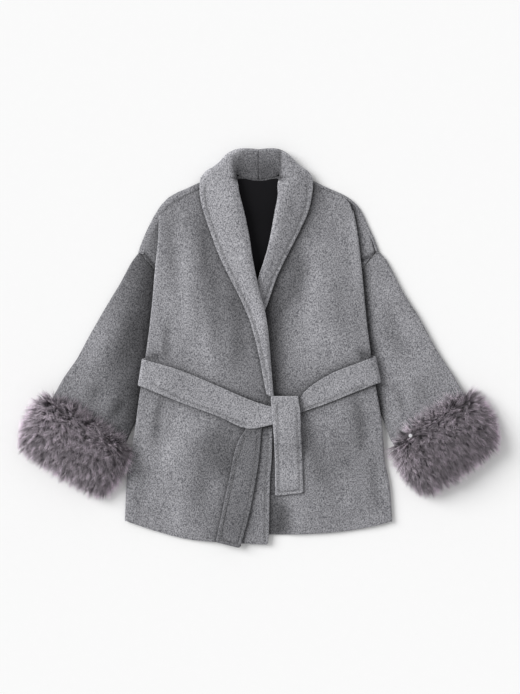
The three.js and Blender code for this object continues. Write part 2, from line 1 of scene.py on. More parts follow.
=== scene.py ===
"""Looks of the wrap coat: brushed grey wool, black lining, long mauve-grey fur cuffs and a knotted belt."""

import json
import math

import bmesh
import bpy
import numpy as np
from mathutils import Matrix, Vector
from mathutils.bvhtree import BVHTree
from mathutils.kdtree import KDTree

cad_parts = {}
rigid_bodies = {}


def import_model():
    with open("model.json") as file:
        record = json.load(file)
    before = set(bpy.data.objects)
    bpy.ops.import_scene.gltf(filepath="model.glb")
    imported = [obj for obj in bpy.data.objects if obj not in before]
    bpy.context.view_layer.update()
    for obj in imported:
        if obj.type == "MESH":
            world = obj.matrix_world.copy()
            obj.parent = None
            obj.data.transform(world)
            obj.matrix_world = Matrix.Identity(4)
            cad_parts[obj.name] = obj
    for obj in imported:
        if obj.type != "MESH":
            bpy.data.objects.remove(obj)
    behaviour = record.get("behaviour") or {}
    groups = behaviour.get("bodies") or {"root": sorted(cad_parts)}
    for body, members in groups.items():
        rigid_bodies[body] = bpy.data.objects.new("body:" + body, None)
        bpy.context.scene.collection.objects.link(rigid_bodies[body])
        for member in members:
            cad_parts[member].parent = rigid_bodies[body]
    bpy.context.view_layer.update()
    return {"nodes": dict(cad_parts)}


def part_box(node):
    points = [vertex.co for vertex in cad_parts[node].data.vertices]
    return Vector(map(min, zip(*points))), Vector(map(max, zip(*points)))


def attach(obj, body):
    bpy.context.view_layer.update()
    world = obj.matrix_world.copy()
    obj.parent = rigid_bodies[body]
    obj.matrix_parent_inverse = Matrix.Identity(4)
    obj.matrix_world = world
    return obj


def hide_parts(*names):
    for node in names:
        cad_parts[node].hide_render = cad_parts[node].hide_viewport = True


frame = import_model()

bl_info = {
    "name": "Wrap Coat Maker",
    "version": (1, 0, 0),
    "blender": (4, 5, 0),
    "location": "View3D > Sidebar > Coat",
    "description": "Sews, stitches and brushes a wool wrap coat laid flat on its back",
    "category": "Add Mesh",
}

BODY = "root"

# The photo's frame: its real size on the surface, and its middle in the part's frame
VIEW_TALL = 1.5615
VIEW_MIDDLE = (0.0020, 0.0015)
CAMERA_HEIGHT = 4.0
MEAN_CLOTH_HEIGHT = 0.015

# A cut edge: how firm it stays when the piece is rounded, how level its normals are,
# and how far it reaches out, in metres, so that sewn edges meet
EDGE_FIRMNESS = 0.42
EDGE_LEVEL = (0.5, 0.9)
SEAM_CLOSING = 0.0008
SHOULDER_CLOSING = 0.0022

# How finely the lining and the hide of the cuffs are made
LINING_LEVELS = 3
HIDE_LEVELS = 2

# Each wool piece: the flat cut's width and length and its area, how finely it is made,
# and what it lies on
PANELS = {
    "back_panel": dict(cut=(0.60, 0.86), area=0.405, levels=2, on=["floor"]),
    "front_left": dict(cut=(0.40, 0.82), area=0.232, levels=3, on=["back_panel"]),
    "front_right": dict(cut=(0.37, 0.83), area=0.219, levels=3, on=["front_left"]),
    "drop_shoulder_right": dict(cut=(0.06, 0.15), area=0.0045, levels=3, on=["back_panel"]),
    "drop_shoulder_left": dict(cut=(0.07, 0.17), area=0.0059, levels=3, on=["back_panel"]),
}
SLEEVES = {
    "sleeve_right": dict(cut=(0.47, 0.44), area=0.143, levels=2, on=["floor"]),
    "sleeve_left": dict(cut=(0.47, 0.44), area=0.141, levels=2, on=["floor"]),
}
COLLAR = {
    "collar_right": dict(cut=(0.19, 0.58), area=0.0436, levels=2, on=["front_right"]),
    "collar_left": dict(cut=(0.19, 0.45), area=0.0332, levels=2, on=["front_left"]),
}
BELT = {
    "belt_back": dict(cut=(0.06, 0.46), area=0.0260, levels=2, on=["floor"]),
    "belt_run_right": dict(cut=(0.06, 0.38), area=0.0215, levels=3, on=["front_right"]),
    "belt_run_left": dict(cut=(0.06, 0.28), area=0.0144, levels=3, on=["front_left"]),
    "belt_front_end": dict(cut=(0.062, 0.24), area=0.0137, levels=3, on=["front_left"]),
    "belt_under_end": dict(cut=(0.057, 0.31), area=0.0157, levels=3, on=["front_right"]),
}

# Creases of the laid cloth, in metres: where each soft ridge or trough starts and ends,
# how far it bows sideways, its half width and its height
CREASES = [
    # The wearer's right front, above the belt
    ((-0.203, -0.040), (-0.202, 0.070), 0.004, 0.011, -0.0042),
    ((-0.196, 0.322), (-0.187, 0.108), -0.005, 0.015, -0.0028),
    ((-0.162, 0.262), (-0.160, -0.020), 0.006, 0.018, 0.0034),
    ((-0.127, 0.290), (-0.118, 0.160), 0.004, 0.013, -0.0026),
    ((-0.062, 0.160), (-0.052, -0.095), 0.010, 0.024, -0.0040),
    ((-0.118, 0.080), (-0.108, -0.080), -0.004, 0.014, 0.0018),
    ((-0.228, 0.240), (-0.240, 0.020), 0.003, 0.010, 0.0018),
    ((-0.116, 0.225), (-0.090, -0.045), 0.006, 0.026, -0.0040),
    # Below the belt
    ((-0.078, -0.170), (-0.072, -0.310), -0.004, 0.026, -0.0052),
    ((-0.213, -0.105), (-0.232, -0.235), -0.006, 0.012, -0.0042),
    ((-0.160, -0.105), (-0.222, -0.300), 0.012, 0.026, 0.0036),
    ((-0.096, -0.160), (-0.128, -0.410), -0.010, 0.026, -0.0040),
    ((-0.262, -0.250), (-0.276, -0.390), 0.004, 0.016, -0.0022),
    ((-0.180, -0.330), (-0.192, -0.425), 0.003, 0.020, 0.0020),
    # The wearer's left front
    ((0.102, 0.215), (0.052, 0.080), 0.010, 0.026, -0.0052),
    ((0.206, -0.125), (0.186, -0.330), 0.006, 0.034, -0.0032),
    ((0.060, -0.345), (0.050, -0.436), 0.002, 0.022, -0.0062),
    ((0.054, 0.120), (0.046, -0.090), -0.006, 0.018, -0.0032),
    ((0.126, 0.240), (0.120, -0.050), 0.010, 0.026, 0.0030),
    ((0.182, 0.180), (0.190, 0.000), -0.005, 0.018, -0.0020),
    ((0.214, 0.300), (0.222, 0.090), 0.004, 0.012, 0.0018),
    ((0.106, -0.150), (0.176, -0.350), -0.012, 0.030, -0.0040),
    ((0.215, -0.095), (0.236, -0.250), 0.006, 0.014, -0.0036),
    ((0.172, -0.100), (0.214, -0.300), 0.008, 0.016, 0.0008),
    ((0.070, -0.330), (0.096, -0.425), 0.004, 0.022, 0.0026),
    ((0.258, -0.240), (0.276, -0.380), -0.004, 0.014, -0.0020),
    # Sleeves
    ((-0.306, -0.112), (-0.334, -0.165), 0.003, 0.010, -0.0048),
    ((-0.326, -0.100), (-0.352, -0.150), 0.002, 0.011, 0.0034),
    ((-0.352, -0.080), (-0.384, -0.132), -0.004, 0.012, -0.0036),
    ((-0.278, 0.080), (-0.345, -0.070), 0.014, 0.022, -0.0034),
    ((-0.330, 0.060), (-0.400, -0.070), -0.010, 0.024, 0.0026),
    ((0.290, 0.110), (0.338, -0.060), -0.012, 0.020, -0.0030),
    ((0.330, 0.080), (0.396, -0.080), 0.010, 0.024, 0.0026),
    ((0.300, -0.080), (0.326, -0.150), 0.004, 0.011, -0.0038),
    ((0.352, -0.070), (0.372, -0.124), 0.004, 0.012, -0.0028),
]

# Creases sink the cloth no deeper than this. Below the first height the underside stays as it is,
# and above the second all of the lift counts
DEEPEST_SINK = -0.0020
UNDERSIDE = (0.0026, 0.0060)

# The laid cloth swells between the lines that hold it down, in metres: the half width
# that each line holds, how fully it holds, and the line
SWELL = 0.0105
HELD_DOWN = [
    (0.046, 1.0, [(-0.133, 0.372), (-0.200, 0.337), (-0.227, 0.299), (-0.234, 0.194),
                  (-0.250, -0.005), (-0.288, -0.230), (-0.302, -0.387)]),
    (0.046, 1.0, [(0.126, 0.372), (0.194, 0.337), (0.209, 0.310), (0.223, 0.194),
                  (0.261, -0.005), (0.284, -0.207), (0.297, -0.387)]),
    (0.050, 0.8, [(-0.302, -0.392), (-0.178, -0.432), (0.000, -0.445), (0.182, -0.432), (0.299, -0.387)]),
    (0.040, 0.85, [(-0.262, -0.030), (-0.180, -0.065), (-0.090, -0.105), (0.000, -0.135),
                   (0.060, -0.130), (0.120, -0.100), (0.200, -0.065), (0.264, -0.045)]),
    (0.040, 1.0, [(-0.232, 0.330), (-0.279, 0.194), (-0.358, 0.063), (-0.4545, -0.117)]),
    (0.040, 1.0, [(0.225, 0.330), (0.268, 0.2205), (0.340, 0.108), (0.452, -0.106)]),
    (0.045, 1.0, [(-0.4545, -0.117), (-0.290, -0.207)]),
    (0.045, 1.0, [(0.317, -0.185), (0.457, -0.099)]),
    (0.034, 1.0, [(-0.070, 0.400), (0.000, 0.372), (0.068, 0.400)]),
    (0.030, 0.5, [(-0.128, 0.330), (-0.098, 0.236), (-0.058, 0.150), (-0.020, 0.060)]),
    (0.030, 0.5, [(0.122, 0.330), (0.104, 0.262), (0.070, 0.190), (0.036, 0.120)]),
]

# No swell inside the cuffs: beyond this distance from the middle, and below a line
# that is given by two such distances and its heights there
SWELL_ENDS = dict(aside=0.31, across=(0.290, 0.455), below=(-0.195, -0.105))

# Painted shadow beside the edge of each piece that lies above: the piece above whose edge is near, the half
# width of the shadow in metres and how deep it is. It fades by the power of its fall
PAINTED_SHADOWS = {
    "back_panel": [("collar_right", 0.016, 0.50), ("collar_left", 0.016, 0.50)],
    "front_right": [("collar_right", 0.044, 0.34), ("collar_right", 0.005, 0.50),
                    ("belt_run_right", 0.013, 0.30), ("belt_run_right", 0.004, 0.40),
                    ("belt_under_end", 0.026, 0.36), ("belt_under_end", 0.005, 0.45)],
    "front_left": [("collar_left", 0.034, 0.56), ("collar_right", 0.040, 0.36),
                   ("collar_left", 0.005, 0.45), ("front_right", 0.030, 0.64),
                   ("belt_run_left", 0.015, 0.34), ("belt_run_left", 0.004, 0.40),
                   ("belt_front_end", 0.005, 0.25)],
    "sleeve_right": [("front_right", 0.054, 0.78), ("front_right", 0.007, 0.40)],
    "sleeve_left": [("front_left", 0.018, 0.40), ("front_left", 0.008, 0.82)],
    "drop_shoulder_right": [("front_right", 0.026, 0.50)],
    "drop_shoulder_left": [("front_left", 0.0075, 0.82)],
    "belt_under_end": [("belt_run_right", 0.020, 0.30)],
    "belt_run_left": [("belt_front_end", 0.006, 0.35)],
}
SHADOW_FALL = 1.5

# Only cloth above this height casts and shows the shade of a hollow
SEEN_ABOVE = 0.004

# Painted light and shade on the wool: how much lighter or darker each piece is painted for how the light
# falls on it, how much painted highlight its turned edges get, and how level their normals are there
PAINTED_PIECE_LIGHT = {"sleeve_right": 0.86, "belt_under_end": 0.64, "belt_run_right": 1.14, "belt_run_left": 1.08,
               "belt_front_end": 1.14, "collar_right": 1.20, "collar_left": 1.08, "front_left": 0.98}
PAINTED_RIM_HIGHLIGHT = {"belt_under_end": 0.85, "belt_run_right": 0.30, "belt_run_left": 0.30, "belt_front_end": 0.34,
            "collar_right": 0.30, "collar_left": 0.42, "front_right": 0.30, "front_left": 0.22}
RIM_LEVEL = (0.35, 0.9)

# How strongly the height of a crease is painted into the colour: painted shade in its troughs, painted
# light on its ridges
CREASE_SHADE = dict(gain=84.0, darkest=-0.44, palest=0.20)

# The collar's stand, in shade at the back of the neck: where it starts, its right fold, how deep
# the shade is at its foot and how much paler at its top, and its left edge, place by height
STAND = dict(low=0.372, foot=0.392, top=0.449, right=0.0500, deep=0.60, paler=0.26,
             left=((0.378, 0.400, 0.4275, 0.445, 0.4545), (-0.0570, -0.0575, -0.0520, -0.0400, -0.0150)))

# The lower end of the right collar: drawn down from one height, so that its end reaches another
COLLAR_END = dict(above=0.080, low=-0.043, reach=-0.108, aside=0.0074)

# Fine dark lines: seams, dark as sewn joints are, and the rolls of the collars, where painted shade stands
# for the shade in the fold: the line, its half width in metres and how deep
CENTRE_BACK = [(-0.0014, 0.4545), (-0.0014, 0.3780)]
NECK_SEAM = [(-0.0652, 0.3814), (0.0000, 0.3780), (0.0607, 0.3825)]
RIGHT_SHOULDER = [(-0.1318, 0.3586), (-0.1681, 0.3416), (-0.1921, 0.3265), (-0.2162, 0.3037)]
RIGHT_ARMHOLE = [(-0.2610, 0.2137), (-0.2317, 0.1777)]
LEFT_ARMHOLE = [(0.2272, 0.1935), (0.2677, 0.2182)]
SEAMS = {
    "collar_right": [(CENTRE_BACK, 0.0022, 0.34), (NECK_SEAM, 0.0022, 0.42),
                     # The last line is painted shade in the fold of the collar's roll
                     ([(-0.0562, 0.4275), (-0.0574, 0.4005), (-0.0517, 0.3735)], 0.0050, 0.40)],
    "collar_left": [(CENTRE_BACK, 0.0022, 0.34), (NECK_SEAM, 0.0022, 0.42),
                    # The last line is painted shade in the fold of the collar's roll
                    ([(0.0450, 0.4455), (0.0495, 0.4095), (0.0495, 0.3780)], 0.0050, 0.40)],
    "front_right": [(RIGHT_SHOULDER, 0.0024, 0.34)],
    "back_panel": [(RIGHT_SHOULDER, 0.0024, 0.34)],
    "sleeve_right": [(RIGHT_ARMHOLE, 0.0050, 0.66)],
    "drop_shoulder_right": [(RIGHT_ARMHOLE, 0.0048, 0.66)],
    "sleeve_left": [(LEFT_ARMHOLE, 0.0046, 0.60)],
    "drop_shoulder_left": [(LEFT_ARMHOLE, 0.0044, 0.60)],
}

# Rows of stitches: the piece they are sewn on and the line they follow, in metres
STITCH_ROWS = {
    "collar_right": [(-0.120, 0.362), (-0.122, 0.342), (-0.116, 0.311), (-0.102, 0.265),
                     (-0.077, 0.200), (-0.050, 0.146), (-0.021, 0.084), (0.000, 0.017),
                     (0.0215, -0.086)],
    "collar_left": [(0.107, 0.366), (0.109, 0.345), (0.102, 0.309), (0.084, 0.267),
                    (0.057, 0.212), (0.030, 0.156), (0.012, 0.108)],
    "front_right": [(0.021, -0.110), (0.021, -0.172), (0.019, -0.252), (0.015, -0.297),
                    (0.013, -0.432)],
    "belt_run_right": [(-0.240, -0.080), (-0.178, -0.114), (-0.087, -0.149), (-0.030, -0.172)],
    "belt_run_left": [(0.240, -0.083), (0.203, -0.097), (0.154, -0.118), (0.100, -0.138)],
    "belt_front_end": [(0.040, -0.130), (0.043, -0.215), (0.044, -0.325), (0.091, -0.319),
                       (0.088, -0.240), (0.085, -0.181), (0.084, -0.130)],
    "belt_under_end": [(-0.031, -0.195), (-0.050, -0.252), (-0.063, -0.310), (-0.086, -0.431),
                       (-0.049, -0.442), (-0.027, -0.362), (-0.008, -0.252), (-0.003, -0.200)],
}

# One stitch: its length, the gap to the next and the thread's half width, and as shares of that
# how high its middle lies, how deep its ends dive and how thin they are
STITCH = dict(length=0.0042, gap=0.0016, radius=0.00042, rise=0.55, dive=4.4, end=0.55)
STITCH_SHARES = (-0.5, -0.3, 0, 0.3, 0.5)
STITCH_TURNS = (0.5, 1.75, 3.0, 4.25, 5.5)
CURVE_STEPS = 24
ABOVE_ALL = 0.2

# The groove that a row of stitches presses in the cloth's upper side, and its shade
GROOVE = dict(deep=0.0011, wide=0.0030, top=(0.008, 0.011), shade=0.40, shade_wide=0.0024)

# Fur cuffs: the middle, the sleeve's lean in degrees and the band's length along it.
# The hide's end at the sleeve is drawn in by pinch beside the body, its width there to inside,
# and its end at the wrist to hem, less slant at the outer side
CUFFS = {
    "cuff_right": dict(middle=(-0.413, -0.217), lean=-30.7, length=0.140, seed=11,
                       pinch=0.12, inside=0.96, hem=0.88, slant=0.04),
    "cuff_left": dict(middle=(0.412, -0.212), lean=30.7, length=0.148, seed=29,
                      pinch=0.28, inside=0.84, hem=0.96, slant=0.24),
}

# The hide under the hair: its middle height, its half width, the core round the sleeve's hollow,
# and the shares to which each way is drawn in
HIDE = dict(height=0.012, half_wide=0.13, core_wide=0.099, core_high=0.0085,
            along=0.86, core_along=0.97, sleeve_along=0.92, across=0.83, up=0.58)

# Roots are where rays from all round the upper side, dipping a little below it, meet the hide.
# More rays are cast than hairs are wanted, because some miss or land too low
ROOTS = dict(height=0.020, spare=1.12, dip=0.32, along=0.99, across=0.105, beyond=1.1,
             flat=0.35, lean=0.35, far=0.2, lowest=0.004)

# Locks in each half of a cuff: their number, and how they vary in turn, length, shade
# and how far the tips are pulled together
LOCKS = dict(count=1500, turn=0.42, long=(0.78, 1.18), shade=(0.40, 1.62), pull=(0.30, 0.80))

# How each hair lies: how far it stands off the hide and falls to the wrist, how it strays,
# its length, shorter near the surface, and how it bows and droops
COMB = dict(off=0.85, off_up=0.78, fall=0.62, fall_more=0.55, stray=0.16, long=(0.70, 1.08),
            low=0.018, low_long=0.8, bow=0.13, droop=0.32, droop_over=0.03)

# Tips end above the surface, at most a little over the cuff's top, and are held in at the part's ends
TIPS = dict(lowest=0.0012, uneven=0.004, bend_lowest=0.0025, over=0.004, held_from=0.008, held=0.6)

# One hair: its half width and how that varies, and where its sections lie and how they taper.
# A hair steeper than upright is turned by another axis
HAIR = dict(radius=0.00042, varies=(0.75, 1.35), shares=(0.0, 0.52), tapers=(1.0, 0.8), upright=0.8)

# Painted light: hair is painted paler at the cuff's rim, where light passes through it, less at the sleeve,
# and at its outer side
PAINTED_HAIR_RIM_LIGHT = dict(rim=0.62, sleeve_rim=0.12, sleeve_from=-0.55, outer=0.26, half_wide=0.12,
                outer_range=(0.55, 0.95), varies=(0.84, 1.18), palest=1.9)

# The bead: its facets, its dimple as shares of its radius, and how flat it is
BEAD = dict(segments=24, rings=14, dimple=0.32, dimple_wide=0.42, flat=0.8)

# The key light's place and its width in degrees, the floor's size and drop, and the camera's sensor
KEY_PLACE = (-2.00, 0.95, 1.62)
KEY_ANGLE = 38
FLOOR_SIZE = 60
FLOOR_DROP = 0.0004
SENSOR_WIDTH = 36


# Settings that a user would change

class CoatCloth(bpy.types.PropertyGroup):
    """Colours and finish of the wool and the lining"""

    light_fibre: bpy.props.FloatVectorProperty(
        name="Light fibre", description="Colour of the pale fibres in the wool",
        subtype="COLOR", size=3, min=0, max=1, default=(0.415, 0.413, 0.434))
    dark_fibre: bpy.props.FloatVectorProperty(
        name="Dark fibre", description="Colour of the dark fibres in the wool",
        subtype="COLOR", size=3, min=0, max=1, default=(0.100, 0.100, 0.111))
    lining: bpy.props.FloatVectorProperty(
        name="Lining", description="Colour of the lining in the neck",
        subtype="COLOR", size=3, min=0, max=1, default=(0.0045, 0.0042, 0.0055))
    fleck: bpy.props.FloatProperty(
        name="Fleck", description="Size of one fleck of the heathered wool",
        default=0.0024, min=0.0005, max=0.02, unit="LENGTH")


class CoatFur(bpy.types.PropertyGroup):
    """Length, number and colours of the cuff hair"""

    hair: bpy.props.FloatProperty(
        name="Hair length", description="Usual length of one hair",
        default=0.042, min=0.005, max=0.1, unit="LENGTH")
    hairs: bpy.props.IntProperty(
        name="Hairs", description="Most hairs in each half of a cuff",
        default=11200, min=100, max=12000)
    tip: bpy.props.FloatVectorProperty(
        name="Tip", description="Colour of the hair at its tips",
        subtype="COLOR", size=3, min=0, max=1, default=(0.655, 0.588, 0.650))
    root: bpy.props.FloatVectorProperty(
        name="Root", description="Colour of the hair near the hide",
        subtype="COLOR", size=3, min=0, max=1, default=(0.060, 0.048, 0.058))


class CoatStudio(bpy.types.PropertyGroup):
    """Lights and floor"""

    key: bpy.props.FloatProperty(
        name="Key light", description="Strength of the soft light from the upper left",
        default=2.60, min=0)
    fill: bpy.props.FloatProperty(
        name="Sky", description="Strength of the even light all round",
        default=0.545, min=0)
    floor: bpy.props.FloatVectorProperty(
        name="Floor", description="Colour of the floor",
        subtype="COLOR", size=3, min=0, max=1, default=(0.93, 0.93, 0.93))


# Helpers

def deselect():
    """Leave nothing selected, because loading leaves the frame's nodes selected."""
    for item in bpy.context.view_layer.objects.selected:
        item.select_set(False)


def pick(piece):
    deselect()
    piece.select_set(True)
    bpy.context.view_layer.objects.active = piece


def copy_of(node, name):
    """A merged copy of a node's mesh as a new piece, with its place in its mesh."""
    source = frame["nodes"][node]
    mesh = source.data.copy()
    mesh.materials.clear()
    piece = bpy.data.objects.new(name, mesh)
    bpy.context.scene.collection.objects.link(piece)
    pick(piece)
    bpy.ops.object.mode_set(mode="EDIT")
    bpy.ops.mesh.select_all(action="SELECT")
    bpy.ops.mesh.remove_doubles(threshold=0.00002)
    bpy.ops.mesh.tris_convert_to_quads(face_threshold=math.radians(60), shape_threshold=math.radians(60))
    bpy.ops.object.mode_set(mode="OBJECT")
    return piece


def round_off(piece, levels, firmness):
    """Subdivide the piece smoothly, its turned edges kept as firm as stated."""
    pick(piece)
    bpy.ops.object.mode_set(mode="EDIT")
    bpy.ops.mesh.select_all(action="DESELECT")
    bpy.ops.mesh.edges_select_sharp(sharpness=math.radians(50))
    bpy.ops.transform.edge_crease(value=firmness)
    bpy.ops.object.mode_set(mode="OBJECT")
    smooth = piece.modifiers.new("Round", "SUBSURF")
    smooth.levels = smooth.render_levels = levels
    bpy.ops.object.modifier_apply(modifier=smooth.name)
    crease = piece.data.attributes.get("crease_edge")
    if crease:
        piece.data.attributes.remove(crease)


def coordinates(piece):
    flat = np.empty(len(piece.data.vertices) * 3)
    piece.data.vertices.foreach_get("co", flat)
    return flat.reshape(-1, 3)


def normals_of(piece):
    flat = np.empty(len(piece.data.vertices) * 3, dtype=np.float32)
    piece.data.vertex_normals.foreach_get("vector", flat)
    return flat.reshape(-1, 3)


def place_points(piece, points):
    piece.data.vertices.foreach_set("co", points.ravel())
    piece.data.update()


def eased(value, start, end):
    share = np.clip((value - start) / (end - start), 0, 1)
    return share * share * (3 - 2 * share)


def distance_to_line(points, line):
    """Distance on the surface plan from each point to a bent line."""
    nearest = np.full(len(points), 1e9)
    for start, end in zip(line[:-1], line[1:]):
        a, b = np.array(start), np.array(end)
        along = np.clip((points[:, :2] - a) @ (b - a) / ((b - a) @ (b - a)), 0, 1)
        gap = points[:, :2] - (a + along[:, None] * (b - a))
        nearest = np.minimum(nearest, np.hypot(gap[:, 0], gap[:, 1]))
    return nearest


def less_along(points, line, wide, deep):
    """A factor that is 1 far from a line and lowest along it."""
    return 1 - deep * np.exp(-(distance_to_line(points, line) / wide) ** 2)


def swollen(points):
    """How far the cloth swells up between the lines that hold it down."""
    lift = np.full(len(points), SWELL)
    for wide, hold, line in HELD_DOWN:
        lift *= less_along(points, line, wide, hold)
    aside = np.abs(points[:, 0])
    below = points[:, 1] < np.interp(aside, SWELL_ENDS["across"], SWELL_ENDS["below"])
    return np.where(below & (aside > SWELL_ENDS["aside"]), 0, lift)


def creased(points):
    """How far the creases lift or sink the cloth."""
    lift = np.zeros(len(points))
    for start, end, bow, wide, high in CREASES:
        run = np.array(end) - np.array(start)
        length = np.linalg.norm(run)
        run = run / length
        side = np.array((-run[1], run[0]))
        offset = points[:, :2] - np.array(start)
        along = offset @ run / length
        across = offset @ side - bow * np.sin(np.pi * np.clip(along, 0, 1))
        ends = eased(along, -0.12, 0.3) * (1 - eased(along, 0.6, 1.12))
        lift += high * ends * np.exp(-(across / wide) ** 2)
    return lift


def how_level(normals):
    """How near each normal is to level: 0 where it points up or down, 1 where it is level."""
    return np.hypot(normals[:, 0], normals[:, 1])


def finish_piece(piece, material):
    piece.data.materials.clear()
    piece.data.materials.append(material)
    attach(piece, BODY)


# Materials

def new_material(name):
    material = bpy.data.materials.new(name)
    material.use_nodes = True
    return material, material.node_tree.nodes, material.node_tree.links


def noise(nodes, links, vector, size, detail=2.0, roughness=0.5):
    node = nodes.new("ShaderNodeTexNoise")
    node.inputs["Scale"].default_value = 1.0 / size
    node.inputs["Detail"].default_value = detail
    node.inputs["Roughness"].default_value = roughness
    links.new(vector, node.inputs["Vector"])
    return node.outputs["Fac"]


def ramp(nodes, links, factor, stops):
    node = nodes.new("ShaderNodeValToRGB")
    elements = node.color_ramp.elements
    while len(elements) < len(stops):
        elements.new(0.5)
    for element, (place, colour) in zip(elements, stops):
        element.position = place
        element.color = (*colour, 1)
    links.new(factor, node.inputs["Fac"])
    return node.outputs["Color"]


def multiplied(nodes, links, colour, shade):
    """The colour made lighter or darker by a value."""
    mixed = nodes.new("ShaderNodeMix")
    mixed.data_type = "RGBA"
    mixed.blend_type = "MULTIPLY"
    mixed.inputs["Factor"].default_value = 1.0
    links.new(colour, mixed.inputs["A"])
    links.new(shade, mixed.inputs["B"])
    return mixed.outputs["Result"]


def roughen(nodes, links, height, strength, depth):
    """Let a height pattern catch the light."""
    bump = nodes.new("ShaderNodeBump")
    bump.inputs["Strength"].default_value = strength
    bump.inputs["Distance"].default_value = depth
    links.new(height, bump.inputs["Height"])
    links.new(bump.outputs["Normal"], nodes["Principled BSDF"].inputs["Normal"])


def wool():
    """Brushed heather: pale and dark fibres mixed fleck by fleck, with a soft nap; its colour carries each
    piece's painted light and shade.
    """
    cloth = bpy.context.scene.coat_cloth
    material, nodes, links = new_material("brushed_grey_wool")
    shader = nodes["Principled BSDF"]
    place = nodes.new("ShaderNodeTexCoord").outputs["Object"]
    stretch = nodes.new("ShaderNodeMapping")
    stretch.inputs["Scale"].default_value = (1.0, 0.72, 1.0)
    links.new(place, stretch.inputs["Vector"])
    flecks = noise(nodes, links, stretch.outputs["Vector"], cloth.fleck, 2.0, 0.6)
    light, dark = np.array(cloth.light_fibre), np.array(cloth.dark_fibre)
    heather = ramp(nodes, links, flecks, [
        (0.34, tuple(dark)), (0.46, tuple(dark * 0.62 + light * 0.38)),
        (0.56, tuple(dark * 0.34 + light * 0.66)), (0.68, tuple(light))])
    clouds = noise(nodes, links, place, 0.05)
    shade = nodes.new("ShaderNodeMapRange")
    for socket, value in (("From Min", 0.3), ("From Max", 0.7), ("To Min", 0.93), ("To Max", 1.06)):
        shade.inputs[socket].default_value = value
    links.new(clouds, shade.inputs["Value"])
    # Each piece's painted light and shade, with its seam lines, multiplies the wool's colour
    nap = nodes.new("ShaderNodeAttribute")
    nap.attribute_name = "painted_light_and_seams"
    both = nodes.new("ShaderNodeMath")
    both.operation = "MULTIPLY"
    links.new(shade.outputs["Result"], both.inputs[0])
    links.new(nap.outputs["Fac"], both.inputs[1])
    colour = multiplied(nodes, links, heather, both.outputs["Value"])
    links.new(colour, shader.inputs["Base Color"])
    shader.inputs["Roughness"].default_value = 0.92
    shader.inputs["Specular IOR Level"].default_value = 0.12
    shader.inputs["Sheen Weight"].default_value = 0.08
    shader.inputs["Sheen Roughness"].default_value = 0.45
    fuzz = noise(nodes, links, stretch.outputs["Vector"], cloth.fleck * 0.8, 4.0, 0.7)
    roughen(nodes, links, fuzz, 0.55, 0.0009)
    return material


def lining_cloth():
    """Smooth black twill with a faint gloss and soft rumples."""
    cloth = bpy.context.scene.coat_cloth
    material, nodes, links = new_material("black_lining_twill")
    shader = nodes["Principled BSDF"]
    place = nodes.new("ShaderNodeTexCoord").outputs["Object"]
    turned = nodes.new("ShaderNodeMapping")
    turned.inputs["Rotation"].default_value = (0, 0, math.radians(45))
    links.new(place, turned.inputs["Vector"])
    twill = nodes.new("ShaderNodeTexWave")
    twill.inputs["Scale"].default_value = 420
    twill.inputs["Distortion"].default_value = 0.6
    links.new(turned.outputs["Vector"], twill.inputs["Vector"])
    base = np.array(cloth.lining)
    colour = ramp(nodes, links, twill.outputs["Fac"], [(0.2, tuple(base * 0.7)), (0.8, tuple(base * 1.4))])
    links.new(colour, shader.inputs["Base Color"])
    shader.inputs["Roughness"].default_value = 0.6
    shader.inputs["Specular IOR Level"].default_value = 0.12
    rumple = noise(nodes, links, place, 0.03)
    roughen(nodes, links, rumple, 0.35, 0.002)
    return material


def fur_hair():
    """Hair that is dark at its root and pale at its tip, each lock a little different, and painted paler at
    the cuff's rim for the light that passes through it.
    """
    fur = bpy.context.scene.coat_fur
    material, nodes, links = new_material("mauve_grey_fur")
    shader = nodes["Principled BSDF"]
    along = nodes.new("ShaderNodeAttribute")
    along.attribute_name = "hair_share"
    # Each lock's own tone, with the painted light at the cuff's rim
    lock = nodes.new("ShaderNodeAttribute")
    lock.attribute_name = "lock_tone_and_rim_light"
    root, tip = np.array(fur.root), np.array(fur.tip)
    colour = ramp(nodes, links, along.outputs["Fac"], [
        (0.0, tuple(root)), (0.36, tuple(root * 0.6 + tip * 0.22)),
        (0.72, tuple(tip * 0.86)), (1.0, tuple(np.minimum(tip * 1.45, 1)))])
    colour = multiplied(nodes, links, colour, lock.outputs["Fac"])
    links.new(colour, shader.inputs["Base Color"])
    shader.inputs["Roughness"].default_value = 0.62
    shader.inputs["Specular IOR Level"].default_value = 0.35
    shader.inputs["Sheen Weight"].default_value = 0.25
    glow = nodes.new("ShaderNodeBsdfTranslucent")
    links.new(colour, glow.inputs["Color"])
    blend = nodes.new("ShaderNodeMixShader")
    blend.inputs["Fac"].default_value = 0.32
    links.new(shader.outputs["BSDF"], blend.inputs[1])
    links.new(glow.outputs["BSDF"], blend.inputs[2])
    links.new(blend.outputs["Shader"], nodes["Material Output"].inputs["Surface"])
    return material


def under_fur():
    """The dense dark wool under the long hair."""
    fur = bpy.context.scene.coat_fur
    material, nodes, links = new_material("dense_under_fur")
    shader = nodes["Principled BSDF"]
    place = nodes.new("ShaderNodeTexCoord").outputs["Object"]
    tufts = noise(nodes, links, place, 0.004, 4.0, 0.7)
    root = np.array(fur.root)
    colour = ramp(nodes, links, tufts, [(0.35, tuple(root * 0.7)), (0.65, tuple(root * 1.9))])
    links.new(colour, shader.inputs["Base Color"])
    shader.inputs["Roughness"].default_value = 0.95
    roughen(nodes, links, tufts, 0.9, 0.003)
    return material


def thread():
    """Grey sewing thread, a shade lighter than the wool."""
    material, nodes, links = new_material("grey_thread")
    shader = nodes["Principled BSDF"]
    place = nodes.new("ShaderNodeTexCoord").outputs["Object"]
    twist = noise(nodes, links, place, 0.0006)
    colour = ramp(nodes, links, twist, [(0.3, (0.20, 0.20, 0.21)), (0.7, (0.36, 0.36, 0.37))])
    links.new(colour, shader.inputs["Base Color"])
    shader.inputs["Roughness"].default_value = 0.7
    return material


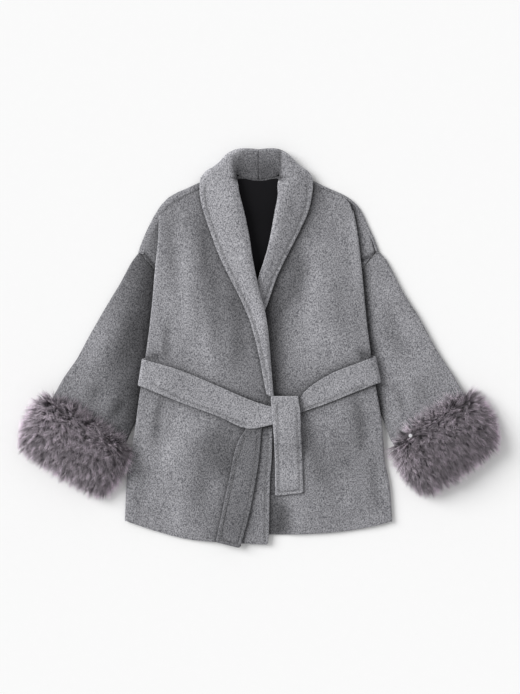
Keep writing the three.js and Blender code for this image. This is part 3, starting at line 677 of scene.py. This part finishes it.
def clear_bead():
    """Clear faceted bead with a bright rim."""
    material, nodes, links = new_material("clear_bead")
    shader = nodes["Principled BSDF"]
    place = nodes.new("ShaderNodeTexCoord").outputs["Object"]
    cloud = noise(nodes, links, place, 0.003)
    colour = ramp(nodes, links, cloud, [(0.3, (0.55, 0.55, 0.58)), (0.7, (0.92, 0.92, 0.94))])
    links.new(colour, shader.inputs["Base Color"])
    shader.inputs["Roughness"].default_value = 0.08
    shader.inputs["Metallic"].default_value = 0.25
    shader.inputs["Coat Weight"].default_value = 0.8
    return material


def made(name, maker):
    """The material of that name, made once."""
    return bpy.data.materials.get(name) or maker()


# Cloth pieces

def drawn_down(points):
    """The lower end of the right collar, drawn down along the front edge to the belt."""
    end = COLLAR_END
    share = np.clip((end["above"] - points[:, 1]) / (end["above"] - end["low"]), 0, None)
    drawn = points.copy()
    drawn[:, 1] += share * share * (end["reach"] - end["low"])
    drawn[:, 0] += share * share * end["aside"]
    return drawn


def cloth_piece(name, facts):
    """A laid cloth piece: the panel's own form, rounded, creased and brushed."""
    piece = copy_of(name, f"cloth_{name}")
    round_off(piece, facts["levels"], EDGE_FIRMNESS)
    points = coordinates(piece)
    faced = normals_of(piece)
    at_edge = eased(how_level(faced), *EDGE_LEVEL)
    closing = SHOULDER_CLOSING if name.startswith("drop_shoulder") else SEAM_CLOSING
    points[:, :2] += faced[:, :2] * at_edge[:, None] * closing
    if name == "collar_right":
        points = drawn_down(points)
    if name != "back_panel":
        lift = np.maximum(swollen(points) + creased(points), DEEPEST_SINK)
        points[:, 2] += lift * eased(points[:, 2], *UNDERSIDE)
    if name in STITCH_ROWS:
        near = distance_to_line(points, STITCH_ROWS[name])
        top = eased(points[:, 2], *GROOVE["top"])
        points[:, 2] -= GROOVE["deep"] * top * np.exp(-(near / GROOVE["wide"]) ** 2)
    place_points(piece, points)
    bpy.ops.object.shade_smooth()
    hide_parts(name)
    finish_piece(piece, made("brushed_grey_wool", wool))
    return piece


class COAT_OT_stage(bpy.types.Operator):
    """Set out the pale floor, the soft lights and the camera above"""

    bl_idname = "coat.stage"
    bl_label = "Set the stage"

    def execute(self, context):
        studio = context.scene.coat_studio
        deselect()
        bpy.ops.mesh.primitive_plane_add(size=FLOOR_SIZE, location=(0, 0, -FLOOR_DROP))
        floor = context.object
        floor.name = "floor"
        material, nodes, links = new_material("pale_floor")
        shader = nodes["Principled BSDF"]
        place = nodes.new("ShaderNodeTexCoord").outputs["Object"]
        paper = noise(nodes, links, place, 0.02)
        base = np.array(studio.floor)
        colour = ramp(nodes, links, paper, [(0.3, tuple(base * 0.995)), (0.7, tuple(base))])
        links.new(colour, shader.inputs["Base Color"])
        shader.inputs["Roughness"].default_value = 0.9
        shader.inputs["Specular IOR Level"].default_value = 0.1
        floor.data.materials.append(material)
        camera = bpy.data.objects.new("camera", bpy.data.cameras.new("camera"))
        camera.location = (*VIEW_MIDDLE, CAMERA_HEIGHT)
        camera.data.sensor_width = SENSOR_WIDTH
        camera.data.lens = SENSOR_WIDTH * (CAMERA_HEIGHT - MEAN_CLOTH_HEIGHT) / VIEW_TALL
        context.scene.collection.objects.link(camera)
        context.scene.camera = camera
        key = bpy.data.objects.new("key_light", bpy.data.lights.new("key_light", "SUN"))
        key.data.angle = math.radians(KEY_ANGLE)
        key.data.energy = studio.key
        key.location = KEY_PLACE
        key.rotation_euler = (-key.location).to_track_quat("-Z", "Y").to_euler()
        context.scene.collection.objects.link(key)
        world = bpy.data.worlds.new("studio")
        world.use_nodes = True
        background = world.node_tree.nodes["Background"]
        background.inputs["Color"].default_value = (1, 1, 1, 1)
        background.inputs["Strength"].default_value = studio.fill
        context.scene.world = world
        context.scene.view_settings.view_transform = "Standard"
        return {"FINISHED"}


class COAT_OT_panels(bpy.types.Operator):
    """Sew the back, the two fronts and the dropped shoulders, and lay the lining in the neck"""

    bl_idname = "coat.panels"
    bl_label = "Sew the panels"

    def execute(self, context):
        for name, facts in PANELS.items():
            cloth_piece(name, facts)
        lining = copy_of("back_lining", "cloth_back_lining")
        round_off(lining, LINING_LEVELS, EDGE_FIRMNESS)
        bpy.ops.object.shade_smooth()
        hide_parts("back_lining")
        finish_piece(lining, made("black_lining_twill", lining_cloth))
        return {"FINISHED"}


class COAT_OT_sleeves(bpy.types.Operator):
    """Set the two wide sleeves"""

    bl_idname = "coat.sleeves"
    bl_label = "Set the sleeves"

    def execute(self, context):
        for name, facts in SLEEVES.items():
            cloth_piece(name, facts)
        return {"FINISHED"}


class COAT_OT_collar(bpy.types.Operator):
    """Roll the shawl collar"""

    bl_idname = "coat.collar"
    bl_label = "Roll the collar"

    def execute(self, context):
        for name, facts in COLLAR.items():
            cloth_piece(name, facts)
        return {"FINISHED"}


class COAT_OT_belt(bpy.types.Operator):
    """Tie the belt"""

    bl_idname = "coat.belt"
    bl_label = "Tie the belt"

    def execute(self, context):
        for name, facts in BELT.items():
            cloth_piece(name, facts)
        return {"FINISHED"}


def gap_to_piece(points, name):
    """Distance on the surface plan from each point to the nearest point of a piece."""
    other = coordinates(bpy.data.objects[f"cloth_{name}"])
    other = other[other[:, 2] > SEEN_ABOVE]
    tree = KDTree(len(other))
    for i, (x, y, _) in enumerate(other):
        tree.insert((x, y, 0), i)
    tree.balance()
    return np.array([tree.find((x, y, 0))[2] for x, y, _ in points])


def in_stand(points):
    """How deep in shade each point is inside the collar's stand, crisp at its right fold."""
    x, y = points[:, 0], points[:, 1]
    left = np.interp(y, *STAND["left"])
    right, low = STAND["right"], STAND["low"]
    inside = eased(x, left - 0.006, left + 0.010) * (1 - eased(x, right - 0.003, right + 0.001))
    inside *= eased(y, low, low + 0.006)
    return inside * (STAND["deep"] - STAND["paler"] * eased(y, STAND["foot"], STAND["top"]))


def painted_light_and_seams(name, points, faced):
    """The painted light and shade at each point beside the plain wool, with the dark seam lines."""
    # Each piece starts painted lighter or darker for how the light falls on it
    shade = np.full(len(points), PAINTED_PIECE_LIGHT.get(name, 1.0))
    seen = points[:, 2] > SEEN_ABOVE
    gaps = {}
    # Painted shadow beside the edges of the pieces above
    for above, wide, deep in PAINTED_SHADOWS.get(name, []):
        if above not in gaps:
            gaps[above] = np.ones(len(points))
            gaps[above][seen] = gap_to_piece(points[seen], above)
        shade *= 1 - deep * np.exp(-(gaps[above] / wide) ** SHADOW_FALL)
    if name in STITCH_ROWS:
        shade *= less_along(points, STITCH_ROWS[name], GROOVE["shade_wide"], GROOVE["shade"])
    if name in COLLAR:
        shade *= 1 - in_stand(points)
    # Painted shade in the crease troughs and painted light on the crease ridges
    fold = creased(points) * CREASE_SHADE["gain"]
    shade *= 1 + np.clip(fold, CREASE_SHADE["darkest"], CREASE_SHADE["palest"])
    # Painted highlight on the turned edges
    if name in PAINTED_RIM_HIGHLIGHT:
        shade *= 1 + PAINTED_RIM_HIGHLIGHT[name] * eased(how_level(faced), *RIM_LEVEL)
    for seam, wide, deep in SEAMS.get(name, []):
        shade *= less_along(points, seam, wide, deep)
    return shade


class COAT_OT_paint_light(bpy.types.Operator):
    """Paint light and shade into the wool's colour: painted shade in hollows, grooves and creases, painted
    highlight on turned edges, and dark seam lines
    """

    # The nap step paints light and shade into each piece's colour
    bl_idname = "coat.nap"
    bl_label = "Press the nap"

    def execute(self, context):
        for name in (*PANELS, *SLEEVES, *COLLAR, *BELT):
            piece = bpy.data.objects[f"cloth_{name}"]
            shade = painted_light_and_seams(name, coordinates(piece), normals_of(piece))
            nap = piece.data.attributes.new("painted_light_and_seams", "FLOAT", "POINT")
            nap.data.foreach_set("value", shade.astype(np.float32))
        return {"FINISHED"}


# Stitches

def evenly(line, spacing):
    """Points and directions at even steps along a smoothed line."""
    points = [Vector((x, y, 0)) for x, y in line]
    dense = []
    for i in range(len(points) - 1):
        before = points[max(i - 1, 0)]
        after = points[min(i + 2, len(points) - 1)]
        a, b = points[i], points[i + 1]
        for step in range(CURVE_STEPS):
            t = step / CURVE_STEPS
            dense.append(0.5 * ((2 * a) + (b - before) * t + (2 * before - 5 * a + 4 * b - after) * t * t
                                + (3 * a - before - 3 * b + after) * t * t * t))
    dense.append(points[-1])
    out, travelled, wanted = [], 0.0, 0.0
    for a, b in zip(dense[:-1], dense[1:]):
        length = (b - a).length
        while length > 0 and wanted <= travelled + length:
            out.append((a.lerp(b, (wanted - travelled) / length), (b - a).normalized()))
            wanted += spacing
        travelled += length
    return out


class COAT_OT_stitches(bpy.types.Operator):
    """Stitch the edges of the collar, the front and the belt, thread by thread"""

    bl_idname = "coat.stitches"
    bl_label = "Stitch the edges"

    def execute(self, context):
        for name, line in STITCH_ROWS.items():
            cloth = bpy.data.objects[f"cloth_{name}"]
            tree = BVHTree.FromObject(cloth, context.evaluated_depsgraph_get())
            mesh = bmesh.new()
            for point, way in evenly(line, STITCH["length"] + STITCH["gap"]):
                self.one_stitch(mesh, tree, point, way)
            data = bpy.data.meshes.new(f"stitches_{name}")
            mesh.to_mesh(data)
            mesh.free()
            piece = bpy.data.objects.new(f"stitches_{name}", data)
            context.scene.collection.objects.link(piece)
            finish_piece(piece, made("grey_thread", thread))
        return {"FINISHED"}

    def one_stitch(self, mesh, tree, point, way):
        """A short length of thread that dives into the cloth at both ends."""
        rings = []
        side = Vector((-way.y, way.x, 0))
        for share in STITCH_SHARES:
            spot = point + way * STITCH["length"] * share
            hit = tree.ray_cast(Vector((spot.x, spot.y, ABOVE_ALL)), Vector((0, 0, -1)))[0]
            if hit is None:
                return
            sunk = STITCH["radius"] * (STITCH["rise"] - STITCH["dive"] * share ** 2)
            centre = hit + Vector((0, 0, sunk))
            radius = STITCH["radius"] * (STITCH["end"] if abs(share) == 0.5 else 1)
            ring = []
            for turn in STITCH_TURNS:
                up = Vector((0, 0, radius * math.sin(turn)))
                ring.append(mesh.verts.new(centre + side * radius * math.cos(turn) + up))
            rings.append(ring)
        for first, second in zip(rings[:-1], rings[1:]):
            for i in range(len(first)):
                j = (i + 1) % len(first)
                mesh.faces.new((first[i], second[i], second[j], first[j]))
        mesh.faces.new(rings[0])
        mesh.faces.new(rings[-1][::-1])


# Fur cuffs

def cuff_frame(name, height):
    """The cuff's middle, the ways along the sleeve and across it, and the sign of inwards."""
    facts = CUFFS[name]
    lean = math.radians(facts["lean"])
    middle = np.array((*facts["middle"], height))
    axis = np.array((math.sin(lean), -math.cos(lean), 0))
    across = np.array((math.cos(lean), math.sin(lean), 0))
    return middle, axis, across, (1 if lean < 0 else -1)


def cuff_skin(name):
    """The dense under-fur: the cuff's form drawn in, so that the hair fills its outline."""
    piece = copy_of(name, f"underfur_{name}")
    facts = CUFFS[name]
    middle, axis, across, inwards = cuff_frame(name, HIDE["height"])
    local = coordinates(piece) - middle
    along, aside, up = local @ axis, local @ across, local[:, 2]
    core = HIDE["core_high"]
    outer = (np.abs(aside) > HIDE["core_wide"]) | (up > core) | (up < -core)
    inner_share = np.clip(aside * inwards / HIDE["half_wide"], 0, 1)
    outer_share = np.clip(aside * -inwards / HIDE["half_wide"], 0, 1)
    at_sleeve = HIDE["sleeve_along"] - facts["pinch"] * inner_share
    at_wrist = facts["hem"] - facts["slant"] * outer_share
    shorter = np.where(along < 0, at_sleeve, at_wrist)
    along = along * np.where(outer, HIDE["along"], HIDE["core_along"]) * shorter
    narrower = HIDE["across"] + (facts["inside"] - HIDE["across"]) * inner_share
    aside = np.where(outer, aside * narrower, aside)
    up = np.where(outer & (up > core), core + (up - core) * HIDE["up"], up)
    points = middle + along[:, None] * axis + aside[:, None] * across
    points[:, 2] = middle[2] + up
    place_points(piece, points)
    round_off(piece, HIDE_LEVELS, 0.0)
    bpy.ops.object.shade_smooth()
    finish_piece(piece, made("dense_under_fur", under_fur))
    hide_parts(name)
    return piece


def find_roots(name, skin, draw):
    """Roots on the hide with its normals there, found by rays from all round the upper side."""
    wanted = bpy.context.scene.coat_fur.hairs
    middle, axis, across, _ = cuff_frame(name, ROOTS["height"])
    tree = BVHTree.FromObject(skin, bpy.context.evaluated_depsgraph_get())
    rays = int(wanted * ROOTS["spare"])
    angle = draw.uniform(-ROOTS["dip"], math.pi + ROOTS["dip"], rays)
    along = draw.uniform(-1, 1, rays) * (CUFFS[name]["length"] / 2) * ROOTS["along"]
    wide = draw.uniform(-ROOTS["beyond"], ROOTS["beyond"], rays)
    roots, normals = [], []
    for a, s, w in zip(angle, along, wide):
        start = middle + axis * s + across * (ROOTS["across"] * w)
        way = across * math.cos(a) * (ROOTS["flat"] + abs(w) ** 2) + np.array((0, 0, 1)) * math.sin(a)
        way = way + axis * draw.normal(0, ROOTS["lean"])
        way = way / np.linalg.norm(way)
        hit, normal, _, _ = tree.ray_cast(Vector(start + way * ROOTS["far"]), Vector(-way))
        if hit is not None and hit.z > ROOTS["lowest"]:
            roots.append(hit)
            normals.append(normal)
    return np.array(roots)[:wanted], np.array(normals)[:wanted]


def combed(normals, axis, to_wrist, turn, draw):
    """The way each hair points: off the hide, to the wrist and turned with its lock."""
    fall = axis[None, :] * (COMB["fall"] + COMB["fall_more"] * to_wrist[:, None])
    outwards = normals * np.array((1.0, 1.0, COMB["off_up"]))
    sideways = np.cross(normals, axis)
    way = outwards * COMB["off"] + fall + sideways * turn[:, None]
    way += draw.normal(0, COMB["stray"], way.shape)
    return way / np.linalg.norm(way, axis=1)[:, None]


def pulled_together(tips, lock, draw):
    """The tips drawn towards the middle of their lock."""
    middles = np.zeros((LOCKS["count"], 3))
    np.add.at(middles, lock, tips)
    middles /= np.maximum(np.bincount(lock, minlength=LOCKS["count"]), 1)[:, None]
    return tips + (middles[lock] - tips) * draw.uniform(*LOCKS["pull"], len(tips))[:, None]


def held_in(tips, bend, name, draw):
    """Keep tips and bends above the surface, and the tips near the cuff's top and ends."""
    low, high = (np.array(corner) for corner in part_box(name))
    lowest = TIPS["lowest"] + draw.uniform(0, TIPS["uneven"], len(tips))
    tips[:, 2] = np.clip(tips[:, 2], lowest, high[2] + TIPS["over"])
    bend[:, 2] = np.clip(bend[:, 2], TIPS["bend_lowest"], None)
    if CUFFS[name]["middle"][0] < 0:
        tips[:, 0] += TIPS["held"] * np.clip(low[0] + TIPS["held_from"] - tips[:, 0], 0, None)
    else:
        tips[:, 0] -= TIPS["held"] * np.clip(tips[:, 0] - high[0] + TIPS["held_from"], 0, None)


def hair_mesh(name, roots, bend, tips, way, thickness):
    """Closed three-sided hairs: each has two sections and a pointed tip."""
    upright = np.abs(way[:, 2:3]) > HAIR["upright"]
    u = np.cross(way, np.where(upright, np.array((1.0, 0, 0)), np.array((0, 0, 1.0))))
    u /= np.linalg.norm(u, axis=1)[:, None]
    v = np.cross(way, u)
    corners = []
    for share, taper in zip(HAIR["shares"], HAIR["tapers"]):
        centre = roots * (1 - share) ** 2 + 2 * bend * share * (1 - share) + tips * share ** 2
        reach = (thickness * taper)[:, None]
        for turn in (0, 2 * math.pi / 3, 4 * math.pi / 3):
            corners.append(centre + (u * math.cos(turn) + v * math.sin(turn)) * reach)
    corners.append(tips)
    vertices = np.stack(corners, axis=1)
    count, per_hair, _ = vertices.shape
    faces = [(0, 2, 1), (3, 4, 6), (4, 5, 6), (5, 3, 6)]
    for i in range(3):
        j = (i + 1) % 3
        faces += [(i, j, 3 + j), (i, 3 + j, 3 + i)]
    faces = np.array(faces)[None, :, :] + (np.arange(count) * per_hair)[:, None, None]
    mesh = bpy.data.meshes.new(name)
    mesh.from_pydata(vertices.reshape(-1, 3), [], faces.reshape(-1, 3))
    shares = np.tile(np.repeat((*HAIR["shares"], 1.0), (3, 3, 1)), count)
    mesh.attributes.new("hair_share", "FLOAT", "POINT").data.foreach_set("value", shares)
    return mesh


def grow_half(name, half, skin):
    """One half of a cuff's hair, combed and gathered in locks."""
    draw = np.random.default_rng(CUFFS[name]["seed"] + half)
    middle, axis, across, inwards = cuff_frame(name, ROOTS["height"])
    roots, normals = find_roots(name, skin, draw)
    count = len(roots)
    lock_roots = roots[draw.integers(0, count, LOCKS["count"])]
    lock = ((roots[:, None, :] - lock_roots[None, :, :]) ** 2).sum(axis=2).argmin(axis=1)
    lock_turn = draw.normal(0, LOCKS["turn"], LOCKS["count"])
    lock_long = draw.uniform(*LOCKS["long"], LOCKS["count"])
    lock_tone_and_rim_light = draw.uniform(*LOCKS["shade"], LOCKS["count"])
    to_wrist = (roots - middle) @ axis / (CUFFS[name]["length"] / 2)
    way = combed(normals, axis, to_wrist, lock_turn[lock], draw)
    length = bpy.context.scene.coat_fur.hair * lock_long[lock] * draw.uniform(*COMB["long"], count)
    length *= np.where(roots[:, 2] < COMB["low"], COMB["low_long"], 1.0)
    tips = pulled_together(roots + way * length[:, None], lock, draw)
    run = tips - roots
    bend = roots + run * 0.5 + normals * (length * COMB["bow"])[:, None]
    tips[:, 2] -= COMB["droop"] * length * eased(np.abs(run[:, 0] + run[:, 1]), 0, COMB["droop_over"])
    held_in(tips, bend, name, draw)
    thickness = HAIR["radius"] * draw.uniform(*HAIR["varies"], count)
    mesh = hair_mesh(f"hair_{name}_{half}", roots, bend, tips, way, thickness)

    # Painted light: hairs at the cuff's rim and outer side are painted paler
    at_rim = 1 - np.clip(normals[:, 2], 0, 1)
    rim = 1 + at_rim * np.where(to_wrist < PAINTED_HAIR_RIM_LIGHT["sleeve_from"], PAINTED_HAIR_RIM_LIGHT["sleeve_rim"], PAINTED_HAIR_RIM_LIGHT["rim"])
    outwards = (roots - middle) @ across * -inwards / PAINTED_HAIR_RIM_LIGHT["half_wide"]
    rim = rim + PAINTED_HAIR_RIM_LIGHT["outer"] * eased(outwards, *PAINTED_HAIR_RIM_LIGHT["outer_range"])
    shade = lock_tone_and_rim_light[lock] * rim * draw.uniform(*PAINTED_HAIR_RIM_LIGHT["varies"], count)
    shade = np.repeat(np.minimum(shade, PAINTED_HAIR_RIM_LIGHT["palest"]), len(mesh.vertices) // count)
    mesh.attributes.new("lock_tone_and_rim_light", "FLOAT", "POINT").data.foreach_set("value", shade)
    piece = bpy.data.objects.new(mesh.name, mesh)
    bpy.context.scene.collection.objects.link(piece)
    pick(piece)
    bpy.ops.object.shade_smooth()
    finish_piece(piece, made("mauve_grey_fur", fur_hair))
    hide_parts(name)
    return piece


class COAT_OT_fur(bpy.types.Operator):
    """Grow the long hair of the two cuffs, lock by lock"""

    bl_idname = "coat.fur"
    bl_label = "Grow the fur cuffs"

    def execute(self, context):
        for name in CUFFS:
            skin = cuff_skin(name)
            for half in (0, 1):
                grow_half(name, half, skin)
        return {"FINISHED"}


class COAT_OT_bead(bpy.types.Operator):
    """Fix the small clear bead on the left cuff"""

    bl_idname = "coat.bead"
    bl_label = "Fix the bead"

    def execute(self, context):
        low, high = (Vector(corner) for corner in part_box("cuff_button"))
        middle = (low + high) / 2
        radius = (high.x - low.x) / 2
        deselect()
        bpy.ops.mesh.primitive_uv_sphere_add(segments=BEAD["segments"], ring_count=BEAD["rings"],
                                             radius=radius, location=middle)
        bead = context.object
        bead.name = "bead_cuff"
        bpy.ops.object.transform_apply(location=True, rotation=True, scale=True)
        points = coordinates(bead)
        local = points - np.array(middle)
        ring = np.hypot(local[:, 0], local[:, 1])
        dimple = np.exp(-(ring / (BEAD["dimple_wide"] * radius)) ** 2) * (local[:, 2] > 0)
        local[:, 2] = local[:, 2] * BEAD["flat"] - BEAD["dimple"] * radius * dimple
        place_points(bead, local + np.array(middle))
        bpy.ops.object.shade_smooth()
        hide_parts("cuff_button")
        finish_piece(bead, made("clear_bead", clear_bead))
        return {"FINISHED"}


STEPS = ("stage", "panels", "sleeves", "collar", "belt", "nap", "stitches", "fur", "bead")


class COAT_PT_maker(bpy.types.Panel):
    """The steps that make the coat, in order"""

    bl_idname = "COAT_PT_maker"
    bl_label = "Wrap coat"
    bl_space_type = "VIEW_3D"
    bl_region_type = "UI"
    bl_category = "Coat"

    def draw(self, context):
        for group in (context.scene.coat_cloth, context.scene.coat_fur, context.scene.coat_studio):
            box = self.layout.box()
            for name in group.__annotations__:
                box.prop(group, name)
        for step in STEPS:
            self.layout.operator(f"coat.{step}")


CLASSES = (CoatCloth, CoatFur, CoatStudio, COAT_OT_stage, COAT_OT_panels, COAT_OT_sleeves, COAT_OT_collar,
           COAT_OT_belt, COAT_OT_paint_light, COAT_OT_stitches, COAT_OT_fur, COAT_OT_bead, COAT_PT_maker)
GROUPS = {"coat_cloth": CoatCloth, "coat_fur": CoatFur, "coat_studio": CoatStudio}


def register():
    for item in CLASSES:
        bpy.utils.register_class(item)
    for name, group in GROUPS.items():
        setattr(bpy.types.Scene, name, bpy.props.PointerProperty(type=group))


def unregister():
    for name in GROUPS:
        delattr(bpy.types.Scene, name)
    for item in reversed(CLASSES):
        bpy.utils.unregister_class(item)


def main():
    register()
    for step in STEPS:
        getattr(bpy.ops.coat, step)()


if __name__ == "__main__":
    main()
